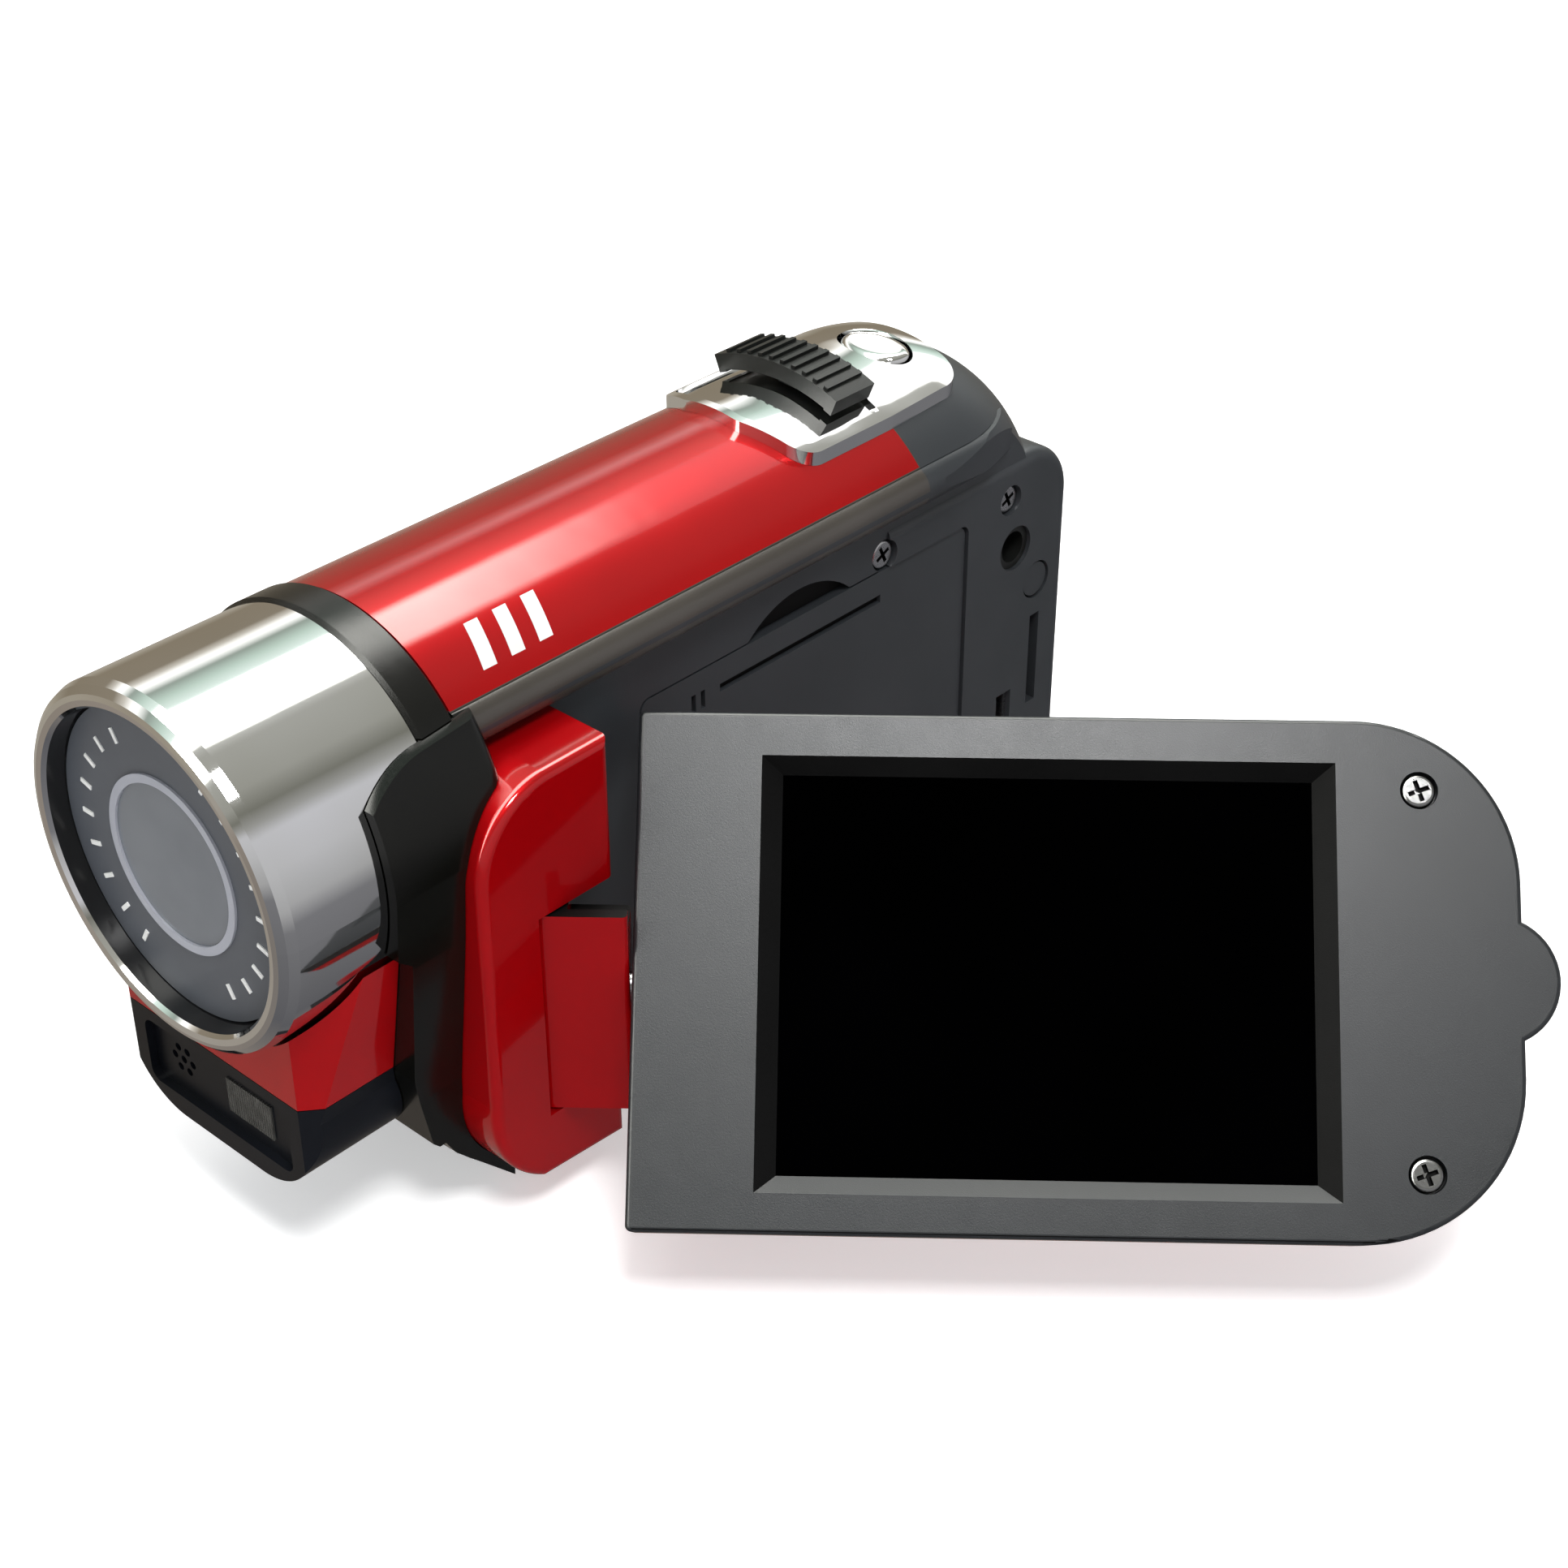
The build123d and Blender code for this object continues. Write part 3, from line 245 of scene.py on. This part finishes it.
def lens_coating():
    """Front glass of the lens: pale grey, with faint blotches and a sharp surface."""
    material, tree, shader = new_material("coated_glass")
    mm = coordinates(tree)
    cloud = noise(tree, mm, 0.12, 2.0)
    tint(tree, shader, cloud, (0.115, 0.127, 0.145), (0.140, 0.154, 0.174))
    dust = noise(tree, mm, 3.0, 3.0, 0.7)
    tree.links.new(spread(tree, dust, 0.10, 0.2), shader.inputs["Roughness"])
    shader.inputs["Coat Weight"].default_value = 0.6
    shader.inputs["Coat Roughness"].default_value = 0.03
    return material


def black_glass():
    """Screen window: deep black with a faint smear in its gloss."""
    material, tree, shader = new_material("black_glass")
    mm = coordinates(tree)
    cloud = noise(tree, mm, 0.04, 2.0)
    tint(tree, shader, cloud, (0.0001, 0.0001, 0.0001), (0.0003, 0.0003, 0.0004))
    smear = noise(tree, mm, 0.09, 3.0, 0.6)
    tree.links.new(spread(tree, smear, 0.04, 0.12), shader.inputs["Roughness"])
    shader.inputs["Specular IOR Level"].default_value = 0.0
    return material


def clear_window():
    """Dark lamp window with a rippled surface."""
    material, tree, shader = new_material("clear_window")
    mm = coordinates(tree)
    cloud = noise(tree, mm, 0.4, 2.0)
    tint(tree, shader, cloud, (0.03, 0.03, 0.028), (0.07, 0.07, 0.065))
    shader.inputs["Roughness"].default_value = 0.12
    ripple = tree.nodes.new("ShaderNodeTexWave")
    ripple.inputs["Scale"].default_value = 0.9
    tree.links.new(mm, ripple.inputs["Vector"])
    bump(tree, shader, ripple.outputs["Fac"], 0.0001, 0.5)
    return material


def body_plastics():
    """Moulded plastics and the paint of printed marks, named by the slots of the record."""
    return {
        "slate": satin_plastic("slate_plastic", (0.022, 0.025, 0.028), (0.029, 0.032, 0.036), 0.42,
                               specular=0.45),
        "olive_satin": satin_plastic("olive_plastic", (0.004, 0.004, 0.0035), (0.007, 0.007, 0.006), 0.24,
                                     specular=0.36),
        "lens_slate": satin_plastic("lens_slate", (0.066, 0.073, 0.086), (0.080, 0.088, 0.102), 0.38,
                                    depth=0.00001),
        "pale_ring": satin_plastic("pale_ring", (0.28, 0.29, 0.33), (0.33, 0.34, 0.38), 0.35,
                                   depth=0.00001),
        "black_plastic": satin_plastic("black_plastic", (0.006, 0.0065, 0.006), (0.010, 0.011, 0.010), 0.36,
                                       specular=0.3),
        "board": satin_plastic("board_laminate", (0.01, 0.10, 0.04), (0.02, 0.14, 0.05), 0.4),
        "light_green": satin_plastic("light_green", (0.05, 0.35, 0.08), (0.08, 0.45, 0.1), 0.2),
        "white_mark": satin_plastic("white_mark", (0.62, 0.62, 0.60), (0.72, 0.72, 0.71), 0.45,
                                    depth=0.000005),
    }


def second_plastics():
    """Plastics of single nodes, or of some of their faces, that differ from their slot's material, with two
    that are painted shade: a darker slate for the shaded chin, and black for recesses, grooves and bevels.
    """
    return {
        "panel_slate": satin_plastic("panel_slate", (0.010, 0.0115, 0.013), (0.014, 0.0155, 0.0175), 0.36),
        # painted shade: a darker copy of the slate for the chin base, which sits in shadow under the hood
        "chin_painted_shade": satin_plastic("chin_painted_shade", (0.003, 0.0035, 0.005), (0.005, 0.006, 0.009), 0.34,
                                    specular=0.2),
        "hood_inside": satin_plastic("hood_inside", (0.006, 0.006, 0.006), (0.010, 0.010, 0.011), 0.16,
                                     depth=0.000005),
        "wrap_gloss": satin_plastic("wrap_gloss", (0.002, 0.002, 0.0015), (0.004, 0.004, 0.003), 0.16,
                                    depth=0.000006, specular=0.3),
        "ridge_satin": satin_plastic("ridge_satin", (0.034, 0.029, 0.024), (0.044, 0.038, 0.032), 0.3,
                                     specular=0.7),
        # painted shade: black that stands in for the shade in the screw recesses, the side groove, the
        # screen's bevels and the hinge knuckle's top
        "painted_shade_black": satin_plastic("painted_shade_black", (0.002, 0.002, 0.002), (0.004, 0.004, 0.004), 0.5,
                                      specular=0.1),
    }


def make_materials():
    """Every material, by the name it is asked for."""
    made = {
        "red_gloss": gloss_red(),
        "chrome": mirror_chrome(),
        "plate_chrome": mirror_chrome("plate_chrome", 0.0009),
        "lens_glass": lens_coating(),
        "screen": black_glass(),
        "lamp_clear": clear_window(),
        "steel": bright_metal("bright_steel", (0.62, 0.62, 0.63)),
        "brass": bright_metal("turned_brass", (0.72, 0.52, 0.22)),
        "cell_wrap": bright_metal("cell_wrap", (0.32, 0.33, 0.35), 0.35),
        "dark_steel": bright_metal("dark_steel", (0.30, 0.30, 0.30), 0.2),
    }
    made.update(body_plastics())
    made.update(second_plastics())
    return made


# ---------------------------------------------------------------- finishes and painted shade on the CAD nodes
# nodes whose whole finish is not the one of their slot; the chin base's darker slate is painted shade
OWN_FINISH = {
    "panel_frame": "panel_slate",
    "chin_base": "chin_painted_shade",
    "control_plate": "plate_chrome",
    "panel_screws": "dark_steel",
}


def dress_nodes(materials):
    """Give each CAD node the material of its slot, or its own finish."""
    slots = {s["node"]: s["material_slot"] for s in frame["record"]["subparts"]}
    slots.update(OWN_FINISH)
    for name, obj in nodes.items():
        obj.data.materials.clear()
        obj.data.materials.append(materials[slots[name]])


def dress_faces(name, material, wanted):
    """Give some faces of a node a second material.

    The test is given the centre and the normal of a face, in the world.
    """
    obj = nodes[name]
    obj.data.materials.append(material)
    slot = len(obj.data.materials) - 1
    turn = obj.matrix_world.to_3x3().normalized()
    for polygon in obj.data.polygons:
        if wanted(obj.matrix_world @ polygon.center, turn @ polygon.normal):
            polygon.material_index = slot


def widest_normal(name):
    """Normal of the biggest face that looks up, in the world."""
    obj = nodes[name]
    turn = obj.matrix_world.to_3x3().normalized()
    facing = [p for p in obj.data.polygons if (turn @ p.normal).z > 0.1]
    return (turn @ max(facing, key=lambda p: p.area).normal).normalized()


def loose_pieces(name):
    """Groups of vertices of one node that are joined by edges."""
    obj = nodes[name]
    owner = list(range(len(obj.data.vertices)))

    def root(i):
        while owner[i] != i:
            owner[i] = owner[owner[i]]
            i = owner[i]
        return i

    for edge in obj.data.edges:
        owner[root(edge.vertices[0])] = root(edge.vertices[1])
    groups = {}
    for i, vertex in enumerate(obj.data.vertices):
        groups.setdefault(root(i), []).append(obj.matrix_world @ vertex.co)
    return list(groups.values())


# painted shade: the faces of a screw below this depth are painted black
RECESS_DEPTH = 0.12 * MM                # faces of a screw further than this below its top are black


def dress_screw(name, outward, materials):
    """Make the cross recess of each screw black as painted shade, and leave the top of its head plated."""
    tops = []
    for points in loose_pieces(name):
        middle = sum(points, Vector()) / len(points)
        tops.append((middle, max(p.dot(outward) for p in points)))

    def in_recess(centre, normal):
        top = min(tops, key=lambda t: (t[0] - centre).length)[1]
        return centre.dot(outward) < top - RECESS_DEPTH

    dress_faces(name, materials["painted_shade_black"], in_recess)


HOOD_LIP = 0.8 * MM                     # depth of the hood's front lip, which keeps the hood's finish
WRAP_BACK = 3.0                         # where the wrap ends and the ridge starts, mm behind COVER_FRONT
WRAP_TOP = 11.7                         # upper limit of the wrap's faces, mm above the lens axis
RIDGE_LOW = 7.6                         # lower limit of the ridge's faces, mm above the lens axis
# the black on these bevels is painted shade
BEVEL_REACH = (31 * MM, 23.5 * MM)      # the black bevels lie within this of the screen's middle
GROOVE_DEPTH = (0.3 * MM, 1.0 * MM)     # the side groove's floor lies between these depths


def dress_hood(materials):
    """Black inside of the lens hood, behind its front lip."""
    def inside(centre, normal):
        radial = Vector((centre.x, 0, centre.z - LENS_Z))
        return normal.dot(radial.normalized()) < -0.4 and centre.y > hood_low.y + HOOD_LIP

    dress_faces("lens_hood", materials["hood_inside"], inside)


def dress_housing(materials):
    """Gloss wrap at the front of the left housing, and the paler ridge along its top."""
    def on_wrap(centre, normal):
        return centre.y < back(WRAP_BACK) and centre.z < up(WRAP_TOP)

    def on_ridge(centre, normal):
        beside = normal.z > 0.05 or normal.x < 0.98
        return centre.z > up(RIDGE_LOW) and centre.y > back(WRAP_BACK) and beside

    dress_faces("left_housing", materials["wrap_gloss"], on_wrap)
    dress_faces("left_housing", materials["ridge_satin"], on_ridge)


def dress_side_groove(materials):
    """Painted shade: black floor of the shallow groove along the side."""
    side_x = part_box("battery_door")[1].x

    def on_floor(centre, normal):
        return normal.x > 0.9 and side_x - GROOVE_DEPTH[1] < centre.x < side_x - GROOVE_DEPTH[0]

    for name in ("battery_door", "left_housing", "rear_housing"):
        dress_faces(name, materials["painted_shade_black"], on_floor)


def dress_panel(outward, materials):
    """Painted shade: black on the bevels round the screen, but not on the one that faces up; outward is the
    way the screen faces.
    """
    along = Vector(frame_joint_axis("panel_swivel"))
    if along.x < 0:
        along = -along
    upward = outward.cross(along).normalized()
    window_low, window_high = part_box("screen_glass")
    window = (window_low + window_high) / 2

    def on_bevel(centre, normal):
        offset = centre - window
        near = abs(offset.dot(along)) < BEVEL_REACH[0] and abs(offset.dot(upward)) < BEVEL_REACH[1]
        return near and normal.dot(outward) < 0.95 and normal.dot(upward) < 0.3

    dress_faces("panel_frame", materials["painted_shade_black"], on_bevel)


def dress_details(materials):
    """Second materials on faces that are finished differently from the rest of their node, and painted shade
    in the side groove, the screen's bevels, the knuckle's top and the screw recesses.
    """
    outward = widest_normal("screen_glass")
    dress_side_groove(materials)
    dress_hood(materials)
    dress_housing(materials)
    dress_panel(outward, materials)
    # painted shade: the knuckle's upward faces are painted black for the dark hollow above it
    dress_faces("hinge_knuckle", materials["painted_shade_black"], lambda centre, normal: normal.z > 0.5)
    dress_screw("panel_screws", outward, materials)
    dress_screw("side_screws", Vector((1, 0, 0)), materials)
    dress_screw("base_screws", Vector((0, 0, -1)), materials)


# ---------------------------------------------------------------- printed mark
def mesh_object(name, points, faces, material, body):
    """A named piece of the visual model that rides a body."""
    mesh = bpy.data.meshes.new(name)
    mesh.from_pydata(points, [], faces)
    mesh.materials.append(material)
    mesh.update()
    made = bpy.data.objects.new(name, mesh)
    scene.collection.objects.link(made)
    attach(made, body)
    return made


MARK_START, MARK_END = 5.3, 15.5        # behind the cover's front edge, mm
MARK_LOW, MARK_HIGH = 46.5, 61.3        # degrees above +X about the lens axis
MARK_BARS = 3
MARK_WIDTH = 0.48                       # width of a bar, as a share of the pitch
MARK_SLANT = 0.35                       # how far a bar leans back over its length, as a share of the pitch
MARK_RISE = 0.02 * MM                   # height of the print over the cover
MARK_STEPS = 10                         # flat pieces along a bar


def add_cover_mark(materials):
    """Generic slanted bars printed on the cover in place of lettering."""
    radius = COVER_R + MARK_RISE
    points, faces = [], []
    pitch = (MARK_END - MARK_START) / MARK_BARS
    for k in range(MARK_BARS):
        for i in range(MARK_STEPS + 1):
            part = i / MARK_STEPS
            angle = math.radians(MARK_LOW + (MARK_HIGH - MARK_LOW) * part)
            for edge in (0.0, MARK_WIDTH * pitch):
                y = back(MARK_START + k * pitch + edge + MARK_SLANT * pitch * part)
                points.append((radius * math.cos(angle), y, LENS_Z + radius * math.sin(angle)))
            if i:
                n = len(points)
                faces.append((n - 4, n - 3, n - 1, n - 2))
    mark = mesh_object("cover_mark", points, faces, materials["white_mark"], "camera_body")


# ---------------------------------------------------------------- studio
# reflected brightness by angle about the lens axis: 0 is level on the screen's side, 90 overhead
STUDIO_BANDS = [
    (-90, (0.12, 0.12, 0.13)),
    (-24, (0.20, 0.20, 0.21)),
    (-12, (0.42, 0.42, 0.42)),
    (10, (0.55, 0.55, 0.56)),
    (30, (0.60, 0.60, 0.62)),
    (37, (0.36, 0.36, 0.34)),
    (45, (0.20, 0.20, 0.17)),
    (58, (0.36, 0.36, 0.32)),
    (82, (0.42, 0.42, 0.38)),
    (88, (0.60, 0.60, 0.56)),
    (93, (13.0, 13.0, 12.2)),           # overhead strip light
    (116, (13.0, 13.0, 12.2)),
    (121, (0.95, 1.10, 1.02)),
    (130, (0.62, 0.78, 0.68)),
    (139, (0.34, 0.40, 0.35)),
    (147, (1.60, 1.60, 1.55)),          # narrow second strip
    (153, (0.70, 0.66, 0.58)),
    (159, (0.28, 0.24, 0.18)),
    (186, (0.26, 0.22, 0.16)),
    (197, (0.38, 0.34, 0.27)),
    (210, (0.40, 0.37, 0.32)),
    (222, (0.30, 0.26, 0.22)),
    (270, (0.12, 0.12, 0.13)),
]
BRIGHTEST = max(max(colour) for _, colour in STUDIO_BANDS)

# towards the rear the bands are dimmed to STRIP_FAR at most, from STRIP_END to STRIP_GONE along Y
STRIP_END, STRIP_GONE = 0.55, 0.62
STRIP_FAR = 1.5

SOFT_COLOUR = (0.94, 0.97, 1.0, 1.0)    # light of the surroundings on dull surfaces
SOFT_STRENGTH = 0.50


def band_angle(tree, direction):
    """Angle of a direction about the lens axis, as 0 to 1 for -90 to 270 degrees."""
    angle = tree.nodes.new("ShaderNodeMath")
    angle.operation = "ARCTAN2"
    tree.links.new(direction.outputs["Z"], angle.inputs[0])
    tree.links.new(direction.outputs["X"], angle.inputs[1])
    wrap = tree.nodes.new("ShaderNodeMath")
    wrap.operation = "WRAP"
    wrap.inputs[1].default_value = math.pi * 3 / 2
    wrap.inputs[2].default_value = -math.pi / 2
    tree.links.new(angle.outputs[0], wrap.inputs[0])
    turn = tree.nodes.new("ShaderNodeMapRange")
    turn.inputs["From Min"].default_value = -math.pi / 2
    turn.inputs["From Max"].default_value = math.pi * 3 / 2
    tree.links.new(wrap.outputs[0], turn.inputs["Value"])
    return turn.outputs["Result"]


def band_light(tree, direction):
    """Light that glossy surfaces reflect: the bands, dimmed towards the rear."""
    bands = [((degrees + 90.0) / 360.0, [c / BRIGHTEST for c in colour]) for degrees, colour in STUDIO_BANDS]
    banded = ramp(tree, band_angle(tree, direction), bands)
    fade = tree.nodes.new("ShaderNodeMapRange")
    fade.inputs["From Min"].default_value = STRIP_END
    fade.inputs["From Max"].default_value = STRIP_GONE
    tree.links.new(direction.outputs["Y"], fade.inputs["Value"])
    cap = tree.nodes.new("ShaderNodeMixRGB")
    cap.blend_type = "DARKEN"
    cap.inputs["Color2"].default_value = (*[STRIP_FAR / BRIGHTEST] * 3, 1.0)
    tree.links.new(fade.outputs["Result"], cap.inputs["Fac"])
    tree.links.new(banded, cap.inputs["Color1"])
    reflect = background(tree, (1.0, 1.0, 1.0, 1.0), BRIGHTEST)
    tree.links.new(cap.outputs["Color"], reflect.inputs["Color"])
    return reflect


def background(tree, colour, strength):
    """Even light of one colour."""
    made = tree.nodes.new("ShaderNodeBackground")
    made.inputs["Color"].default_value = colour
    made.inputs["Strength"].default_value = strength
    return made


def choose(tree, test, otherwise, when_true):
    """Shader picked by a test."""
    made = tree.nodes.new("ShaderNodeMixShader")
    tree.links.new(test, made.inputs[0])
    tree.links.new(otherwise.outputs[0], made.inputs[1])
    tree.links.new(when_true.outputs[0], made.inputs[2])
    return made


def add_studio():
    """Surroundings: bands in the reflections, soft light on dull surfaces, white behind the part."""
    world = bpy.data.worlds.new("studio")
    scene.world = world
    world.use_nodes = True
    tree = world.node_tree
    tree.nodes.clear()
    source = tree.nodes.new("ShaderNodeTexCoord")
    direction = tree.nodes.new("ShaderNodeSeparateXYZ")
    tree.links.new(source.outputs["Generated"], direction.inputs[0])
    reflect = band_light(tree, direction)
    soft = background(tree, SOFT_COLOUR, SOFT_STRENGTH)
    seen = background(tree, (1.0, 1.0, 1.0, 1.0), 1.0)
    path = tree.nodes.new("ShaderNodeLightPath")
    lit = choose(tree, path.outputs["Is Glossy Ray"], soft, reflect)
    last = choose(tree, path.outputs["Is Camera Ray"], lit, seen)
    out = tree.nodes.new("ShaderNodeOutputWorld")
    tree.links.new(last.outputs[0], out.inputs["Surface"])


def area_light(name, place, target, size, power, colour=(1, 1, 1), reflected=False):
    """Square lamp at a place, facing the target, with its side in metres and its power in watts."""
    data = bpy.data.lights.new(name, "AREA")
    data.shape = "RECTANGLE"
    data.size = size
    data.size_y = size
    data.energy = power
    data.color = colour
    light = bpy.data.objects.new(name, data)
    scene.collection.objects.link(light)
    light.location = place
    direction = Vector(target) - Vector(place)
    light.rotation_mode = "QUATERNION"
    light.rotation_quaternion = direction.to_track_quat("-Z", "Y")
    light.visible_glossy = reflected


def add_lights():
    """Key from above, fill from the screen's side, and a small lamp that shows in the panel.

    Places are in metres.
    """
    centre = (cad_box[0] + cad_box[1]) / 2
    area_light("key", (-0.1, 0.1, 0.8), centre, 0.8, 3.5, (1.0, 0.98, 0.95))
    area_light("fill", (0.7, -0.5, 0.35), centre, 0.6, 0.9)
    area_light("panel_glow", (0.225, -0.155, 0.475), centre, 0.12, 1.7, reflected=True)


FLOOR_REACH = 6.0                       # metres
FLOOR_GLOW = 0.42                       # own light of the paper, which keeps it white


def add_floor():
    """White paper under the part; glossy surfaces don't reflect it."""
    mesh = bpy.data.meshes.new("floor")
    signs = ((-1, -1), (1, -1), (1, 1), (-1, 1))
    corners = [(FLOOR_REACH * x, FLOOR_REACH * y, FLOOR_Z) for x, y in signs]
    mesh.from_pydata(corners, [], [(0, 1, 2, 3)])
    floor = bpy.data.objects.new("floor", mesh)
    scene.collection.objects.link(floor)
    material, tree, shader = new_material("floor_paper")
    mm = coordinates(tree)
    tint(tree, shader, noise(tree, mm, 0.01, 2.0), 0.93, 0.95)
    shader.inputs["Roughness"].default_value = 0.8
    shader.inputs["Specular IOR Level"].default_value = 0.1
    shader.inputs["Emission Color"].default_value = (1.0, 1.0, 1.0, 1.0)
    shader.inputs["Emission Strength"].default_value = FLOOR_GLOW
    mesh.materials.append(material)
    floor.visible_glossy = False


# ---------------------------------------------------------------- make it
scene.view_settings.view_transform = "Standard"
scene.view_settings.look = "None"
add_camera()
materials = make_materials()
dress_nodes(materials)
dress_details(materials)
add_cover_mark(materials)
add_studio()
add_lights()
add_floor()
